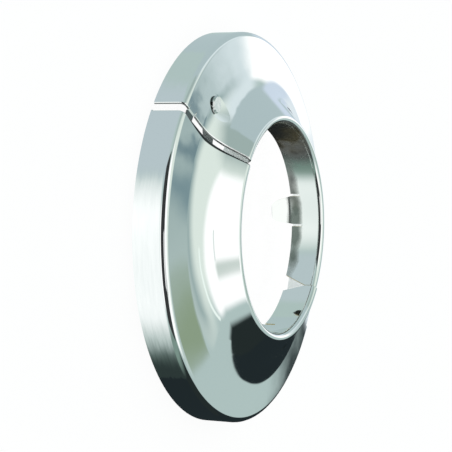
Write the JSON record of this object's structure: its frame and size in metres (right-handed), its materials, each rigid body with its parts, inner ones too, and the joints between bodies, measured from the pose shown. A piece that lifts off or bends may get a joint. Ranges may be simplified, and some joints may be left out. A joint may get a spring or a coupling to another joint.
{
  "type": "split pipe escutcheon",
  "caption": "Hinged split escutcheon plate of chromed pressed steel, which closes round a pipe and covers the hole where it passes through a wall, floor or ceiling.",
  "frame": {"origin": "on the pipe's axis, in the plane of the rear rim, which lies on the wall", "axes": "+Z along the pipe's axis away from the wall; the halves meet on the X axis, with the hinge at -X, the upper half at +Y and the lower half at -Y"},
  "size_m": [0.092, 0.092, 0.0165],
  "materials": {
    "upper_plate": "bright chrome plate on pressed steel sheet",
    "lower_plate": "bright chrome plate on pressed steel sheet",
    "rivet": "plated rivet, slightly duller than the plate"
  },
  "bodies": {
    "upper": {"upper_half": "upper_plate", "hinge_rivet": "rivet"},
    "lower": {"lower_half": "lower_plate"}
  },
  "joints": [
    {"name": "hinge", "type": "hinge", "parent": "upper", "child": "lower", "pos_m": [-0.03542, 0.0088, 0.0078], "axis": [0, 0, -1], "range_deg": [0, 48]}
  ]
}
